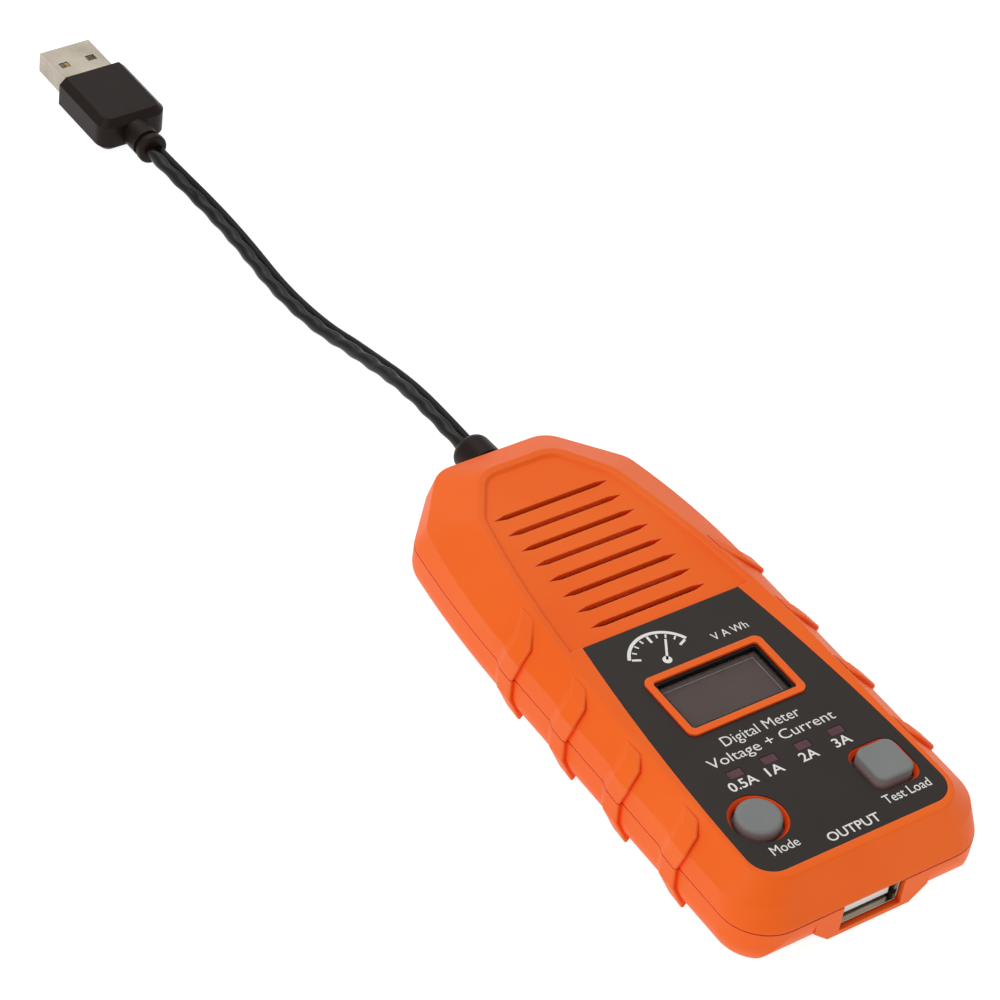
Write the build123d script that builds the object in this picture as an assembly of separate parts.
from build123d import *
import math
import os

# A pocket meter for a USB port: a two-shell housing with a small display, two push buttons,
# four range lights, a socket in one end and a short lead with a plug at the other.
# Millimetres. X is across the housing, +Y runs to the lead's end, +Z is up.
# The origin is under the middle of the housing, on the surface that it rests on.
# Places along the housing are given as a distance from the socket end, and at() turns
# such a distance into Y.

# ---- housing ----
LENGTH = 121.2
HALF_WIDTH = 27.0
PARTING = 10.0            # height of the joint between the two shells
SHOULDER = 14.5           # top of the upright side wall
TOP = 18.8                # flat top face
WALL = 2.0
CORNER = 9.0              # plan radius of the socket end's corners
SIDE_BEND = 75.0          # from here the sides draw in towards the lead
CHEEK = (24.6, 109.0)     # where the sides meet the slanted corners of the lead end
CHEEK_DRAW = (1.6, 1.2)   # how far those corners draw in from the parting to the shoulder
TAIL_HALF = 13.2          # half width of the flat lead end
TAIL_DRAW = 0.8
BACK_DRAW = 0.6
SIDE_DRAW = 0.2
CORNER_SOFTENING = 6.5
UNDERSIDE_ROUND = 6.5
FRONT_SWEEP = 9.0         # radius of the underside where it rises to the socket end
TOP_ROUND = 0.6
END_LEAN = 4.4            # the socket end leans back this far from the parting to the top
TOP_EDGE_HALF = 22.2      # half width of the flat top near the buttons
TOP_EDGE_BEND = 45.0
TOP_CHEEK = (15.6, 102.8)
TOP_TAIL_HALF = 8.4
TOP_BACK = 113.2
LIP_HEIGHT = 1.2
LIP_THICK = 0.9
FIT_GAP = 0.1             # clearance of parts that are fitted and stay put
SEAM_WIDTH = 0.24         # shadow gap where the shells meet
SEAM_DEPTH = 0.5

# ---- grip ridges ----
RIDGE_PLACES = (70.2, 53.3, 36.6, 19.6)
RIDGE_HEIGHT = 0.9
RIDGE_CREST = 3.9         # length of the crest, behind the step that faces the socket
RIDGE_RAMP = 6.2

# ---- front label and what comes through it ----
LABEL_TOP = 65.8
LABEL_BOTTOM = 6.2
LABEL_TOP_HALF = 17.4
LABEL_MID_HALF = 20.3
LABEL_LOW_HALF = 21.4
LABEL_CORNER = 4.8
LABEL_THICK = 0.25
LABEL_SINK = 0.3
VENT_COUNT = 8
VENT_FIRST = 69.6
VENT_PITCH = 4.47
VENT_LENGTH = 25.8
VENT_WIDTH = 1.2
VENT_TAPER = 2.6          # length over which each end of a vent comes to a point
VENT_PANEL_INSET = 1.3
VENT_PANEL_SINK = 0.6
WINDOW_CENTRE = 46.2
BEZEL_SIZE = (26.0, 15.4)
WINDOW_SIZE = (23.2, 12.6)
BEZEL_RISE = 0.35
GASKET_WALL = 0.55
LIGHT_PLACE = 28.15
LIGHT_PITCH = 7.42
LIGHT_SIZE = (3.0, 1.7)
BUTTON_PLACE = 17.8
BUTTON_OFFSET = 13.8
BUTTON_TRAVEL = 0.8
ROUND_HOLE = 4.7          # radius below the splayed rim
SQUARE_HOLE = (9.0, 9.2)
RIM_SPLAY = 0.75          # how far a button hole's rim opens out
RIM_DEPTH = 0.9

# ---- inside ----
BOARD_UNDER = PARTING
BOARD_THICK = 1.6
BOARD_TOP = BOARD_UNDER + BOARD_THICK
ROOF = TOP - WALL
SWITCH_REST = BOARD_TOP + 1.6     # underside of a switch's plunger
SOCKET_SIZE = (13.1, 5.8)
SOCKET_DEPTH = 14.0
SOCKET_FRONT = 0.9
TONGUE_SETBACK = 1.3      # from the can's front edge back to the tongue
TONGUE_LENGTH = 9.2
SOCKET_OPENING = (13.5, 6.05)
SOCKET_CENTRE = PARTING - SOCKET_SIZE[1] / 2
CASE_SCREWS = ((20.5, 9.5), (14.5, 106.0))
BOARD_SCREWS = ((19.5, 33.0), (17.5, 92.0))

# ---- lead and plug ----
LEAD_EXIT = PARTING
LEAD_DIAMETER = 4.2
BOOT_TIP = 128.0
BOOT_RADIUS = 4.2
PLUG_TURN = 1.1           # degrees that the plug is turned on the surface
PLUG_BACK = (-3.9, 249.0)
OVERMOULD_SIZE = (16.0, 18.5, 8.0)
PLUG_SHELL_SIZE = (12.0, 4.5)
PLUG_SHELL_OUT = 12.0
RELIEF_LENGTH = 7.5
RELIEF_RADIUS = 3.2
SHEET_METAL = 0.3


def at(distance):
    """Y of a place given as a distance from the socket end."""
    return distance - LENGTH / 2


def plan(half, front, corner, bend, cheek, tail_half, back):
    """Outline of the housing from above, drawn for one side and mirrored."""
    run = Line((0, at(front)), (half - corner, at(front)))
    turn = TangentArc((half - corner, at(front)), (half, at(front + corner)), tangent=(1, 0))
    side = Line((half, at(front + corner)), (half, at(bend)))
    draw_in = TangentArc((half, at(bend)), (cheek[0], at(cheek[1])), tangent=(0, 1))
    slant = Line((cheek[0], at(cheek[1])), (tail_half, at(back)))
    tail = Line((tail_half, at(back)), (0, at(back)))
    one_side = Curve() + [run, turn, side, draw_in, slant, tail]
    face = make_face(one_side + mirror(one_side, Plane.YZ))
    ends = [v for v in face.vertices() if v.Y > at(cheek[1]) - 0.01]
    return fillet(ends, CORNER_SOFTENING)


def housing_plan():
    """Plan of the housing at its widest, where the shells meet."""
    return plan(HALF_WIDTH, 0, CORNER, SIDE_BEND, CHEEK, TAIL_HALF, LENGTH)


def shoulder_plan():
    """Plan at the shoulder, drawn in a little, and most at the lead end."""
    front = END_LEAN * (SHOULDER - PARTING) / (TOP - PARTING)
    cheek = (CHEEK[0] - CHEEK_DRAW[0], CHEEK[1] - CHEEK_DRAW[1])
    half, tail, back = HALF_WIDTH - SIDE_DRAW, TAIL_HALF - TAIL_DRAW, LENGTH - BACK_DRAW
    return plan(half, front, CORNER, SIDE_BEND, cheek, tail, back)


def top_plan():
    """Plan of the flat top face."""
    return plan(TOP_EDGE_HALF, END_LEAN, 6.5, TOP_EDGE_BEND, TOP_CHEEK, TOP_TAIL_HALF, TOP_BACK)


def top_edge_half(distance):
    """Half width of the flat top at a distance from the socket end."""
    drop = TOP_EDGE_HALF - TOP_CHEEK[0]
    run = TOP_CHEEK[1] - TOP_EDGE_BEND
    radius = (run ** 2 + drop ** 2) / (2 * drop)
    past = max(0.0, distance - TOP_EDGE_BEND)
    return TOP_EDGE_HALF - radius + math.sqrt(radius ** 2 - past ** 2)


def slope_height(x, distance):
    """Height of the slanted flank between the shoulder and the top face."""
    share = (HALF_WIDTH - x) / (HALF_WIDTH - top_edge_half(distance))
    return SHOULDER + (TOP - SHOULDER) * share


def ridge_station(base, outward):
    """Section of a grip ridge: a step that faces the socket, a crest and a ramp behind it."""
    x, y, z = base
    across, up = outward

    def corner(along, height):
        return Vector(x + height * across, y + along, z + height * up)

    crest = [corner(0.25, RIDGE_HEIGHT), corner(RIDGE_CREST, RIDGE_HEIGHT * 0.8)]
    return Face(Wire.make_polygon([corner(0, -0.8), corner(-0.15, RIDGE_HEIGHT * 0.7), *crest,
                                   corner(RIDGE_RAMP, -0.25)]))


def upper_ridge(place):
    """One ridge on the right flank of the top shell, running up the slope in a zigzag."""
    lean = math.hypot(TOP - SHOULDER, HALF_WIDTH - top_edge_half(place))
    slope = ((TOP - SHOULDER) / lean, (HALF_WIDTH - top_edge_half(place)) / lean)
    knee_x = 24.4
    knee = place + 0.9
    end_x = top_edge_half(place + 6) + 0.3
    end = knee + 1.2 * (knee_x - end_x)
    fade = (end_x, at(end), slope_height(end_x, end) - RIDGE_HEIGHT)
    stations = [
        ridge_station((HALF_WIDTH, at(place + 1.3), PARTING), (1, 0)),
        ridge_station((HALF_WIDTH - 0.1, at(place), SHOULDER - 0.2), (0.95, 0.45)),
        ridge_station((knee_x, at(knee), slope_height(knee_x, knee)), slope),
        ridge_station(fade, slope),
    ]
    return Solid.make_loft([s.outer_wire() for s in stations], True)


def lower_ridge(place):
    """The same ridge carried down the bottom shell until it fades on the rounded underside."""
    stations = [
        ridge_station((HALF_WIDTH - 1.6, at(place - 0.6), 1.6), (0.7, -0.7)),
        ridge_station((HALF_WIDTH, at(place + 1.0), 5.5), (1, -0.1)),
        ridge_station((HALF_WIDTH, at(place + 1.3), PARTING), (1, 0)),
    ]
    return Solid.make_loft([s.outer_wire() for s in stations], True)


def both_sides(shape):
    return [shape, mirror(shape, Plane.YZ)]


def slab(face, low, high):
    """A plan face given thickness between two heights."""
    return extrude(Pos(0, 0, low) * face, high - low)


def block(x, y, z, size):
    """Box with its centre at x, y and its underside at z."""
    return Pos(x, y, z) * Box(*size, align=(Align.CENTER, Align.CENTER, Align.MIN))


def post(x, y, low, high, radius):
    return Pos(x, y, low) * Cylinder(radius, high - low, align=(Align.CENTER, Align.CENTER, Align.MIN))


def rounded(x, y, low, high, size, radius):
    """Upright block with rounded corners."""
    return Pos(x, y, low) * extrude(RectangleRounded(size[0], size[1], radius), high - low)


def mirrored_places(places):
    return [(side * x, at(d)) for x, d in places for side in (-1, 1)]


def label_face():
    """Plan of the printed front label: it widens towards the buttons with bowed sides."""
    head = (LABEL_TOP_HALF, at(LABEL_TOP))
    middle = (LABEL_MID_HALF, at(38.4))
    low = (LABEL_LOW_HALF, at(LABEL_BOTTOM + LABEL_CORNER))
    turned = (LABEL_LOW_HALF - LABEL_CORNER, at(LABEL_BOTTOM))
    top = Line((0, at(LABEL_TOP)), head)
    side = ThreePointArc(head, middle, low)
    turn = RadiusArc(low, turned, LABEL_CORNER)
    foot = Line(turned, (0, at(LABEL_BOTTOM)))
    one_side = Curve() + [top, side, turn, foot]
    return make_face(one_side + mirror(one_side, Plane.YZ))


def light_places():
    return [((i - 1.5) * LIGHT_PITCH, at(LIGHT_PLACE)) for i in range(4)]


def light_openings(grow, low, high):
    size = (LIGHT_SIZE[0] + grow, LIGHT_SIZE[1] + grow, high - low)
    return [block(x, y, low, size) for x, y in light_places()]


def button_openings(grow, low, high):
    """Straight holes for the two buttons."""
    square = (SQUARE_HOLE[0] + 2 * grow, SQUARE_HOLE[1] + 2 * grow)
    return [
        post(-BUTTON_OFFSET, at(BUTTON_PLACE), low, high, ROUND_HOLE + grow),
        rounded(BUTTON_OFFSET, at(BUTTON_PLACE), low, high, square, 2.2 + grow),
    ]


def button_rims():
    """Splayed rims of the two button holes, up to the face that the label lies on."""
    high = TOP - LABEL_SINK
    low = high - RIM_DEPTH
    middle = Pos(-BUTTON_OFFSET, at(BUTTON_PLACE), (low + high) / 2)
    cone = middle * Cone(ROUND_HOLE, ROUND_HOLE + RIM_SPLAY, RIM_DEPTH)
    place = Pos(BUTTON_OFFSET, at(BUTTON_PLACE), 0)
    foot = Pos(0, 0, low) * RectangleRounded(*SQUARE_HOLE, 2.2)
    splayed = [side + 2 * RIM_SPLAY for side in SQUARE_HOLE]
    mouth = Pos(0, 0, high) * RectangleRounded(*splayed, 2.9)
    return [cone, place * loft([foot, mouth], ruled=True)]


def vent_slots():
    """Long slots whose ends come to a point."""
    tip, shoulder, half = VENT_LENGTH / 2, VENT_LENGTH / 2 - VENT_TAPER, VENT_WIDTH / 2
    upper = [(-tip, 0), (-shoulder, half), (shoulder, half)]
    lower = [(tip, 0), (shoulder, -half), (-shoulder, -half)]
    outline = Polyline(*upper, *lower, close=True)
    slot = extrude(make_face(outline), WALL + 6)
    return [Pos(0, at(VENT_FIRST + i * VENT_PITCH), ROOF - 3) * slot for i in range(VENT_COUNT)]


def vent_panel():
    """Shallow recess round the vents, a little inside the top face's edge, with a sloped rim."""
    span = LENGTH - LABEL_TOP
    window = Pos(0, at(LABEL_TOP + span / 2)) * Rectangle(2 * HALF_WIDTH, span)
    rim = offset(top_plan(), -VENT_PANEL_INSET, kind=Kind.INTERSECTION) & window
    floor = offset(top_plan(), -VENT_PANEL_INSET - VENT_PANEL_SINK, kind=Kind.INTERSECTION) & window
    slope = loft([Pos(0, 0, TOP - VENT_PANEL_SINK) * floor, Pos(0, 0, TOP) * rim], ruled=True)
    return slope + slab(rim, TOP, TOP + 1)


def make_top_shell():
    wide = housing_plan()
    shoulder = shoulder_plan()
    crown = top_plan()
    band = loft([Pos(0, 0, PARTING) * wide, Pos(0, 0, SHOULDER) * shoulder], ruled=True)
    cap = loft([Pos(0, 0, SHOULDER) * shoulder, Pos(0, 0, TOP) * crown], ruled=True)
    body = band + cap
    body = fillet(body.edges().filter_by(lambda e: abs(e.center().Z - TOP) < 0.01), TOP_ROUND)
    outer = body
    for place in RIDGE_PLACES:
        outer = outer + both_sides(upper_ridge(place))
    hollow_low = offset(shoulder, -WALL, kind=Kind.INTERSECTION)
    hollow_high = offset(crown, -WALL, kind=Kind.INTERSECTION)
    shell = outer - slab(hollow_low, PARTING, SHOULDER - 1)
    shell = shell - loft([Pos(0, 0, SHOULDER - 1) * hollow_low, Pos(0, 0, ROOF) * hollow_high], ruled=True)
    posts = [post(x, y, PARTING, TOP - 1, 3.0) for x, y in mirrored_places(CASE_SCREWS)]
    posts += [post(x, y, BOARD_TOP, TOP - 1, 2.6) for x, y in mirrored_places(BOARD_SCREWS)]
    for pillar in posts:
        shell = shell + (pillar & body)
    lip_room = offset(wide, -WALL + LIP_THICK + FIT_GAP, kind=Kind.INTERSECTION)
    shell = shell - slab(lip_room, PARTING, PARTING + LIP_HEIGHT + FIT_GAP)
    for x, y in mirrored_places(CASE_SCREWS):
        shell = shell + post(x, y, PARTING, PARTING + 2, 3.0)
    shell = shell - slab(label_face(), TOP - LABEL_SINK, TOP + 1) - vent_panel()
    bezel = rounded(0, at(WINDOW_CENTRE), ROOF, TOP + BEZEL_RISE, BEZEL_SIZE, 1.6)
    shell = shell + bezel
    shell = shell - rounded(0, at(WINDOW_CENTRE), ROOF - 3, TOP + 2, WINDOW_SIZE, 0.8)
    cuts = light_openings(0.2, ROOF - 3, TOP + 1) + button_openings(0, ROOF - 3, TOP)
    for cut in cuts + button_rims() + vent_slots():
        shell = shell - cut
    for x, y in mirrored_places(CASE_SCREWS):
        shell = shell - post(x, y, PARTING - 1, PARTING + 3.6, 1.25)
    for x, y in mirrored_places(BOARD_SCREWS):
        shell = shell - post(x, y, BOARD_TOP - 1, BOARD_TOP + 3.4, 1.0)
    return shell - seam(PARTING, PARTING + SEAM_WIDTH / 2) - boot_room()


def seam(low, high):
    """Ring cut into the outside of the shells between two heights."""
    core = offset(housing_plan(), -SEAM_DEPTH, kind=Kind.INTERSECTION)
    return slab(Rectangle(3 * HALF_WIDTH, 2 * LENGTH), low, high) - slab(core, low - 1, high + 1)


def swept_block(front, low, radius):
    """Long block whose lower front edge is rounded, to raise the underside at the socket end."""
    corner = (Align.CENTER, Align.MIN, Align.MIN)
    long_block = Box(4 * HALF_WIDTH, 2 * LENGTH, 2 * PARTING, align=corner)
    long_block = Pos(0, at(front), low) * long_block
    edge = long_block.edges().filter_by(Axis.X).group_by(Axis.Z)[0].sort_by(Axis.Y)[0]
    return fillet(edge, radius)


def make_bottom_shell():
    wide = housing_plan()
    body = slab(wide, 0, PARTING)
    under = body.edges().filter_by(lambda e: e.center().Z < 0.01)
    body = fillet(under, UNDERSIDE_ROUND) & swept_block(0, 0, FRONT_SWEEP)
    left = [(-12.5, PARTING), (-12.5, 6.0), (-9.0, 2.9)]
    pad = Polygon(*left, *[(-x, z) for x, z in reversed(left)], align=None)
    body = body + Pos(0, at(0), 0) * extrude(Plane.XZ * pad, -6)
    for place in RIDGE_PLACES:
        body = body + [r & slab(Rectangle(80, 200), 0, PARTING) for r in both_sides(lower_ridge(place))]
    outer = body
    room = offset(wide, -WALL, kind=Kind.INTERSECTION)
    tight = offset(wide, -WALL - 3.0, kind=Kind.INTERSECTION)
    hollow = slab(room, 4.5, PARTING) + loft([Pos(0, 0, WALL) * tight, Pos(0, 0, 4.5) * room], ruled=True)
    shell = body - (hollow & swept_block(WALL, WALL, FRONT_SWEEP - WALL))
    lip = slab(offset(wide, -WALL + LIP_THICK, kind=Kind.INTERSECTION), PARTING - 1, PARTING + LIP_HEIGHT)
    lip = lip - slab(room, PARTING - 2, PARTING + 3)
    front_gap = block(0, at(0), PARTING - 2, (20, 20, 5))
    shell = shell + (lip - front_gap)
    for x, y in mirrored_places(CASE_SCREWS):
        shell = shell - post(x, y, PARTING, PARTING + 3, 3.3)
        shell = shell + (post(x, y, WALL - 1, PARTING, 3.4) & outer)
        shell = shell - post(x, y, -1, 3.0, 2.6) - post(x, y, -1, PARTING + 3, 1.45)
    mouth = (SOCKET_OPENING[0], 12, SOCKET_OPENING[1])
    shell = shell - block(0, at(0), PARTING - SOCKET_OPENING[1], mouth)
    shell = shell - rounded(0, 0, -1, 0.3, (30.4, 50.4), 2.0)
    return shell - seam(PARTING - SEAM_WIDTH / 2, PARTING) - boot_room()


def boot_profile(grow):
    """Half section of the cable boot: inner flange, waist in the wall and short outer barrel."""
    inner = LENGTH - 4.6
    groove = LENGTH - WALL - 0.3
    waist = BOOT_RADIUS - 1.2 + grow
    flange = BOOT_RADIUS + 0.4 + grow
    points = [(0, at(inner - grow)), (flange, at(inner - grow))]
    points += [(flange, at(groove + grow)), (waist, at(groove + grow))]
    if grow:
        return make_face(Polyline(*points, (waist, at(LENGTH + 4)), (0, at(LENGTH + 4)), close=True))
    barrel = BOOT_RADIUS - 0.2
    tip = LEAD_DIAMETER / 2 + 0.3
    points += [(waist, at(LENGTH + 0.15)), (BOOT_RADIUS, at(LENGTH + 0.15)), (barrel, at(BOOT_TIP - 2.2))]
    nose = TangentArc((barrel, at(BOOT_TIP - 2.2)), (tip, at(BOOT_TIP)), tangent=(0, 1))
    close = Polyline((tip, at(BOOT_TIP)), (0, at(BOOT_TIP)), (0, at(inner)))
    return make_face(Curve() + [Polyline(*points), nose, close])


def make_boot():
    return Pos(0, 0, LEAD_EXIT) * revolve(boot_profile(0), Axis.Y)


def boot_room():
    """Space for the boot in the two shells' end wall."""
    return Pos(0, 0, LEAD_EXIT) * revolve(boot_profile(FIT_GAP), Axis.Y)


def make_front_label():
    label = slab(offset(label_face(), -0.1), TOP - LABEL_SINK, TOP - LABEL_SINK + LABEL_THICK)
    round_bezel = (BEZEL_SIZE[0] + FIT_GAP, BEZEL_SIZE[1] + FIT_GAP)
    label = label - rounded(0, at(WINDOW_CENTRE), TOP - 1, TOP + 1, round_bezel, 1.65)
    holes = light_openings(0.2, TOP - 1, TOP + 1)
    for hole in holes + button_openings(RIM_SPLAY + 0.05, TOP - 1, TOP + 1):
        label = label - hole
    return label


def make_rear_label():
    return rounded(0, 0, 0.08, 0.3, (30.0, 50.0), 1.8)


def make_display_window():
    inset = 2 * (GASKET_WALL + FIT_GAP)
    size = (WINDOW_SIZE[0] - inset, WINDOW_SIZE[1] - inset)
    pane = rounded(0, at(WINDOW_CENTRE), ROOF, ROOF + 1.0, size, 0.5)
    return chamfer(pane.edges().group_by(Axis.Z)[-1], 0.25)


def make_window_gasket():
    """Thin black lining between the window's opening and the pane."""
    outer = (WINDOW_SIZE[0] - FIT_GAP, WINDOW_SIZE[1] - FIT_GAP)
    inner = (outer[0] - 2 * GASKET_WALL, outer[1] - 2 * GASKET_WALL)
    ring = rounded(0, at(WINDOW_CENTRE), ROOF, TOP - 0.15, outer, 0.75)
    return ring - rounded(0, at(WINDOW_CENTRE), ROOF - 1, TOP, inner, 0.55)


def make_display_panel():
    return block(0, at(WINDOW_CENTRE) - 1.2, ROOF - 1.5, (26.7, 19.3, 1.5))


def make_display_frame():
    y = at(WINDOW_CENTRE) - 1.2
    frame = block(0, y, BOARD_TOP, (29.4, 22.0, ROOF - BOARD_TOP))
    frame = frame - block(0, y, BOARD_TOP - 1, (24.6, 17.2, 9)) - block(0, y, ROOF - 1.5, (26.9, 19.5, 2))
    return frame - block(0, y - 11, BOARD_TOP, (14.0, 6.0, 2.0))


def make_display_ribbon():
    """Folded flex that joins the panel to the board under the frame's front edge."""
    y = at(WINDOW_CENTRE) - 1.2 - 8.4
    upright = block(0, y, BOARD_TOP + 0.15, (10.0, 0.15, ROOF - 1.5 - BOARD_TOP - 0.15))
    foot = block(0, y - 3.0, BOARD_TOP, (10.0, 6.15, 0.15))
    return upright + foot


def make_light_pipes():
    pipes = []
    for x, y in light_places():
        head = block(x, y, ROOF - 1.2, (LIGHT_SIZE[0], LIGHT_SIZE[1], TOP - 0.1 - ROOF + 1.2))
        collar = block(x, y, ROOF - 1.2, (LIGHT_SIZE[0] + 1.2, LIGHT_SIZE[1] + 1.2, 1.0))
        pipes.append(head + collar)
    return pipes


def make_lights():
    return [block(x, y, BOARD_TOP, (2.8, 1.4, 1.1)) for x, y in light_places()]


def make_mode_button():
    """Round cap with a crowned top and a flange that keeps it in the shell."""
    x, y = -BUTTON_OFFSET, at(BUTTON_PLACE)
    cap = post(x, y, ROOF - 0.4, TOP + 0.9, 4.2)
    cap = fillet(cap.edges().group_by(Axis.Z)[-1], 0.8)
    return cap + post(x, y, ROOF - 1.5, ROOF - 0.4, 6.0)


def make_load_button():
    """Squared cap, taller than the round one, with softened edges."""
    x, y = BUTTON_OFFSET, at(BUTTON_PLACE)
    foot = Pos(x, y, ROOF - 0.4) * RectangleRounded(8.4, 8.6, 2.0)
    crown = Pos(x, y, TOP + 1.4) * RectangleRounded(8.1, 8.3, 1.9)
    cap = loft([foot, crown], ruled=True)
    cap = fillet(cap.edges().group_by(Axis.Z)[-1], 0.6)
    return cap + rounded(x, y, ROOF - 1.5, ROOF - 0.4, (12.0, 12.0), 3.0)


def make_switch_body(side):
    x, y = side * BUTTON_OFFSET, at(BUTTON_PLACE)
    well = SWITCH_REST - BUTTON_TRAVEL - 0.2
    body = block(x, y, BOARD_TOP, (6.2, 6.2, 2.6)) - post(x, y, well, TOP, 1.85)
    for sx, sy in ((-1, -1), (-1, 1), (1, -1), (1, 1)):
        body = body + block(x + sx * 3.3, y + sy * 2.2, BOARD_TOP, (0.6, 0.8, 0.9))
    return body


def make_switch_plunger(side):
    x, y = side * BUTTON_OFFSET, at(BUTTON_PLACE)
    return post(x, y, SWITCH_REST, ROOF - 1.5, 1.65)


def make_main_board():
    right = [(16.0, 4.8), (16.0, 14.5), (23.0, 14.5), (23.0, 84.0), (21.0, 100.0)]
    right += [(10.0, 100.0), (10.0, 110.0)]
    outline = [(x, at(d)) for x, d in right] + [(-x, at(d)) for x, d in reversed(right)]
    board = slab(make_face(Polyline(*outline, close=True)), BOARD_UNDER, BOARD_TOP)
    for x, y in mirrored_places(BOARD_SCREWS):
        board = board - post(x, y, BOARD_UNDER - 1, BOARD_TOP + 1, 1.15)
    return board


def shell_box(width, height, length):
    """Folded sheet-metal sleeve along Y, open at its front."""
    sleeve = Box(width, length, height)
    return sleeve - Pos(0, -SHEET_METAL, 0) * Box(width - 2 * SHEET_METAL, length, height - 2 * SHEET_METAL)


def make_socket_shell():
    """Metal can of the output socket with flared front lips and spring windows."""
    width, height = SOCKET_SIZE
    can = fillet(shell_box(width, height, SOCKET_DEPTH).edges().filter_by(Axis.Y).group_by(Axis.X)[-1], 0.6)
    can = can - Pos(0, 1.0, height / 2) * Box(2.4, 5.0, 1.0) - Pos(0, 1.0, -height / 2) * Box(2.4, 5.0, 1.0)
    return Pos(0, at(SOCKET_FRONT) + SOCKET_DEPTH / 2, SOCKET_CENTRE) * can


def make_socket_tongue():
    """Insulating tongue that hangs in the lower half of the can, with its block behind."""
    middle = at(SOCKET_FRONT + TONGUE_SETBACK + TONGUE_LENGTH / 2)
    tongue = Pos(0, middle, SOCKET_CENTRE - 1.15) * Box(11.0, TONGUE_LENGTH, 1.8)
    rear = Pos(0, at(SOCKET_FRONT) + SOCKET_DEPTH - 2.1, SOCKET_CENTRE) * Box(12.3, 3.4, 5.0)
    return tongue + rear


def make_socket_contacts():
    contacts = []
    for x in (-3.5, -1.0, 1.0, 3.5):
        contacts.append(Pos(x, at(SOCKET_FRONT + 5.6), SOCKET_CENTRE - 0.15) * Box(1.0, 7.4, 0.2))
    return contacts


def make_load_resistors():
    """Four power resistors in a row under the vents, each a ceramic rod with end caps."""
    rods = []
    for i in range(4):
        place = at(73.0 + i * 7.4)
        rod = Pos(0, place, BOARD_TOP + 2.3) * Rot(0, 90, 0) * Cylinder(2.0, 19.0)
        for side in (-1, 1):
            rod = rod + Pos(side * 9.2, place, BOARD_TOP + 2.3) * Rot(0, 90, 0) * Cylinder(2.25, 2.2)
            rod = rod + block(side * 9.2, place, BOARD_TOP, (1.0, 1.0, 2.0))
        rods.append(rod)
    return rods


def make_controller_chip():
    body = block(-6.5, at(62.5), BOARD_TOP, (5.0, 5.0, 1.0))
    for i in range(5):
        shift = (i - 2) * 0.9
        body = body + block(-6.5 + shift, at(62.5), BOARD_TOP, (0.35, 6.4, 0.3))
    return body


def make_power_transistors():
    return [block(x, at(103.5), BOARD_TOP, (6.0, 5.6, 1.6)) for x in (-5.5, 5.5)]


def make_shunt():
    """Bridge of resistance metal that the measured current goes through."""
    strip = block(9.0, at(62.5), BOARD_TOP, (7.0, 3.0, 1.4))
    return strip - block(9.0, at(62.5), BOARD_TOP, (3.6, 4.0, 0.7))


def make_capacitors():
    """Two electrolytic cans under the board, standing off the bottom shell."""
    cans = [post(x, at(30.0), BOARD_UNDER - 5.8, BOARD_UNDER, 3.1) for x in (-7.0, 7.0)]
    return [chamfer(can.edges().group_by(Axis.Z)[0], 0.4) for can in cans]


def make_inductor():
    drum = rounded(0, at(42.0), BOARD_UNDER - 4.2, BOARD_UNDER, (8.0, 8.0), 2.0)
    return drum - post(0, at(42.0), BOARD_UNDER - 5, BOARD_UNDER - 3.6, 2.4)


def screw(x, y, head_under, head_radius, head_height, radius, length):
    """Pan head with a cross recess, shank upward."""
    body = post(x, y, head_under - head_height, head_under, head_radius)
    body = fillet(body.edges().group_by(Axis.Z)[0], head_height * 0.3)
    for size in ((0.5, head_radius * 1.2, 1.0), (head_radius * 1.2, 0.5, 1.0)):
        body = body - block(x, y, head_under - head_height - 0.4, size)
    return body + post(x, y, head_under, head_under + length, radius)


def make_case_screws():
    return [screw(x, y, 3.0, 2.35, 1.6, 1.25, PARTING + 3.2 - 3.0) for x, y in mirrored_places(CASE_SCREWS)]


def make_board_screws():
    length = BOARD_THICK + 3.0
    return [screw(x, y, BOARD_UNDER, 1.9, 1.3, 0.98, length) for x, y in mirrored_places(BOARD_SCREWS)]


def make_inner_wires():
    """Four cores from the boot's flange to pads on the board."""
    wires = []
    for i in range(4):
        x = (i - 1.5) * 1.9
        start = Vector(x, at(LENGTH - 4.6), LEAD_EXIT + 0.6)
        path = FilletPolyline(
            start, start + Vector(0, -3.0, 0), Vector(x * 1.3, at(111.4), BOARD_TOP + 0.9),
            Vector(x * 1.3, at(107.6), BOARD_TOP + 0.55), radius=1.0)
        wires.append(sweep(Plane(path @ 0, z_dir=path % 0) * Circle(0.5), path=path))
    return wires


# Route of the free lead from the boot's tip to the back of the plug's strain relief, chosen by
# hand: out level, down to the surface over a third of its length, then a slow wander.
def lead_route():
    level = OVERMOULD_SIZE[2] / 2
    relief = plug_place(0, -RELIEF_LENGTH, level)
    approach = plug_place(0, -RELIEF_LENGTH - 7.5, level)
    return [
        Vector(0.0, at(BOOT_TIP), LEAD_EXIT),
        Vector(0.0, at(136.5), LEAD_EXIT),
        Vector(0.2, at(149.5), 8.9),
        Vector(0.2, at(163.5), 5.3),
        Vector(-0.5, at(177.0), 2.4),
        Vector(-2.0, at(192.0), 2.12),
        Vector(-1.0, at(209.0), 2.12),
        Vector(-1.3, at(223.0), 2.5),
        approach,
        relief,
    ]


def lead_radii(points):
    """The largest tangent arc that each corner's two runs leave room for."""
    radii = []
    for before, here, after in zip(points, points[1:], points[2:]):
        into, out = here - before, after - here
        turn = math.radians(into.get_angle(out))
        radii.append(0.45 * min(into.length, out.length) / math.tan(turn / 2))
    return radii


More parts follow.
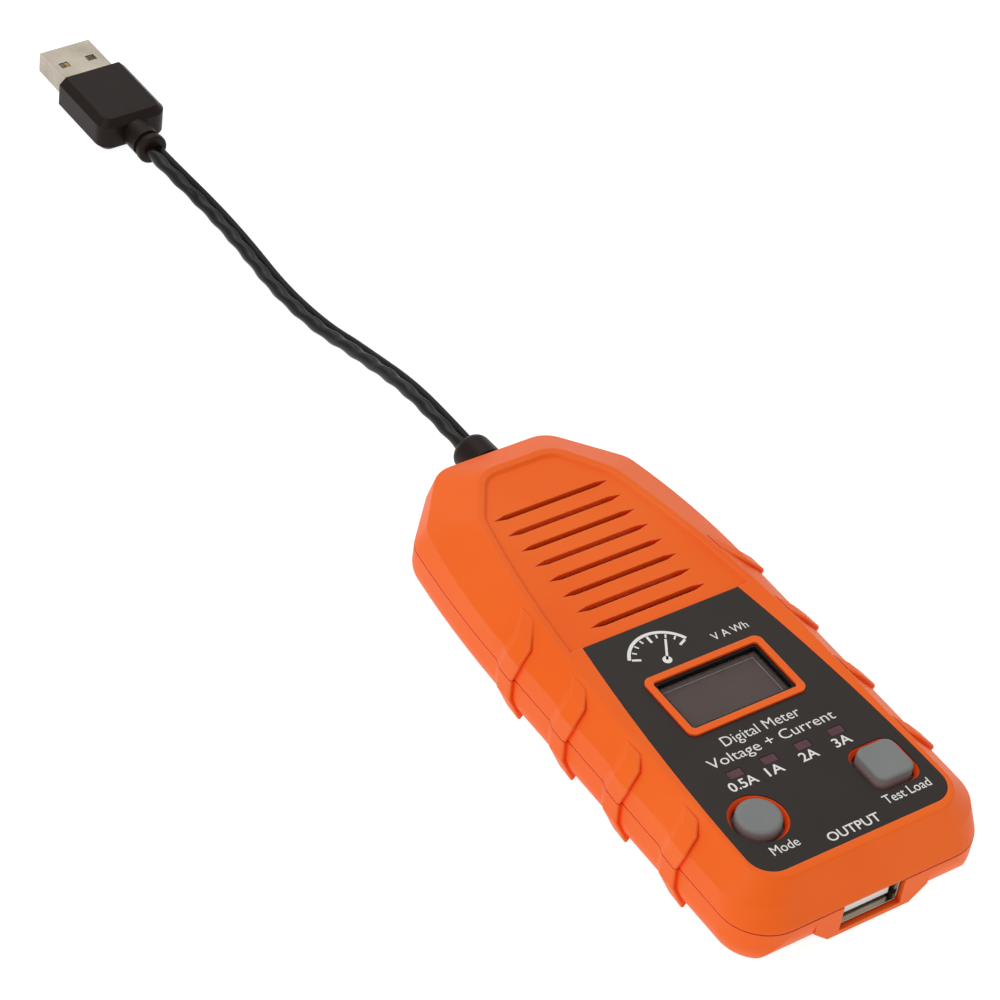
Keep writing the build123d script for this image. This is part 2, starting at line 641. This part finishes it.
def make_lead():
    points = lead_route()
    radii = lead_radii(points)
    print("lead radii", [round(r, 1) for r in radii])
    path = FilletPolyline(*points, radius=radii)
    tube = sweep(Plane(path @ 0, z_dir=path % 0) * Circle(LEAD_DIAMETER / 2), path=path)
    straight = math.pi * LEAD_DIAMETER ** 2 / 4 * path.length
    print("lead length %.1f, volume over section x length %.4f" % (path.length, tube.volume / straight))
    return tube


def plug_place(x, y, z):
    """Point of the plug's own frame, which starts at the back of its overmould."""
    turn = math.radians(PLUG_TURN)
    return Vector(
        PLUG_BACK[0] + x * math.cos(turn) - y * math.sin(turn),
        at(PLUG_BACK[1]) + x * math.sin(turn) + y * math.cos(turn), z)


def on_plug(shape):
    return Pos(*plug_place(0, 0, OVERMOULD_SIZE[2] / 2)) * Rot(0, 0, PLUG_TURN) * shape


def make_overmould():
    """Moulded grip with chamfered long edges and rounded rear corners."""
    width, length, height = OVERMOULD_SIZE
    grip = Pos(0, length / 2, 0) * Box(width, length, height)
    grip = fillet(grip.edges().filter_by(Axis.Z).group_by(Axis.Y)[0], 3.2)
    grip = chamfer(grip.edges().filter_by(Axis.Y), 1.5)
    grip = grip - Pos(0, length - 2.5, 0) * Box(PLUG_SHELL_SIZE[0] + 0.02, 5.1, PLUG_SHELL_SIZE[1] + 0.02)
    return on_plug(grip)


def make_strain_relief():
    """Stub behind the grip that ends in a rolled collar round the lead."""
    radius = RELIEF_RADIUS
    stub = Pos(0, -2.3, 0) * Rot(90, 0, 0) * Cylinder(radius, 4.6)
    neck = Pos(0, -4.9, 0) * Rot(90, 0, 0) * Cylinder(radius - 0.6, 1.2)
    collar = Pos(0, -6.4, 0) * Rot(90, 0, 0) * Cylinder(radius + 0.15, 2.2)
    collar = fillet(collar.edges().filter_by(GeomType.CIRCLE), 0.7)
    return on_plug(stub + neck + collar)


def make_plug_shell():
    """Steel sleeve of the plug with its latch windows on both broad faces."""
    width, height = PLUG_SHELL_SIZE
    length = PLUG_SHELL_OUT + 5.0
    inside = Box(width - 2 * SHEET_METAL, length, height - 2 * SHEET_METAL)
    sleeve = Box(width, length, height) - Pos(0, 1.0, 0) * inside
    for side in (-1, 1):
        for up in (-1, 1):
            sleeve = sleeve - Pos(side * 3.2, length / 2 - 5.9, up * height / 2) * Box(2.2, 1.9, 1.2)
    return on_plug(Pos(0, OVERMOULD_SIZE[1] - 5.0 + length / 2, 0) * sleeve)


def make_plug_tongue():
    """Insulating tongue in the lower half of the sleeve, set back a little from its mouth."""
    width, height = PLUG_SHELL_SIZE
    inside = height / 2 - SHEET_METAL
    tongue = Pos(0, OVERMOULD_SIZE[1] + 3.6, -inside + 0.9) * Box(width - 2 * SHEET_METAL, 15.2, 1.8)
    return on_plug(tongue)


def make_plug_contacts():
    height = PLUG_SHELL_SIZE[1]
    level = -height / 2 + SHEET_METAL + 1.8 + 0.1
    strips = [Pos(x, OVERMOULD_SIZE[1] + 6.0, level) * Box(1.0, 9.0, 0.2) for x in (-3.5, -1.0, 1.0, 3.5)]
    return [on_plug(strip) for strip in strips]


def save(name, shape):
    """Write one node; a list becomes a group of separate solids."""
    solids = []
    for item in shape if isinstance(shape, list) else [shape]:
        solids += item.solids()
    export_step(solids[0] if len(solids) == 1 else Compound(solids), "parts/" + name + ".step")


os.makedirs("parts", exist_ok=True)
save("top_shell", make_top_shell())
save("bottom_shell", make_bottom_shell())
save("front_label", make_front_label())
save("rear_label", make_rear_label())
save("display_window", make_display_window())
save("window_gasket", make_window_gasket())
save("display_panel", make_display_panel())
save("display_frame", make_display_frame())
save("display_ribbon", make_display_ribbon())
save("light_pipes", make_light_pipes())
save("range_lights", make_lights())
save("mode_button", make_mode_button())
save("load_button", make_load_button())
save("mode_switch_body", make_switch_body(-1))
save("load_switch_body", make_switch_body(1))
save("mode_switch_plunger", make_switch_plunger(-1))
save("load_switch_plunger", make_switch_plunger(1))
save("main_board", make_main_board())
save("socket_shell", make_socket_shell())
save("socket_tongue", make_socket_tongue())
save("socket_contacts", make_socket_contacts())
save("load_resistors", make_load_resistors())
save("controller_chip", make_controller_chip())
save("power_transistors", make_power_transistors())
save("current_shunt", make_shunt())
save("filter_capacitors", make_capacitors())
save("filter_inductor", make_inductor())
save("case_screws", make_case_screws())
save("board_screws", make_board_screws())
save("inner_wires", make_inner_wires())
save("cable_boot", make_boot())
save("supply_lead", make_lead())
save("plug_overmould", make_overmould())
save("plug_strain_relief", make_strain_relief())
save("plug_shell", make_plug_shell())
save("plug_tongue", make_plug_tongue())
save("plug_contacts", make_plug_contacts())
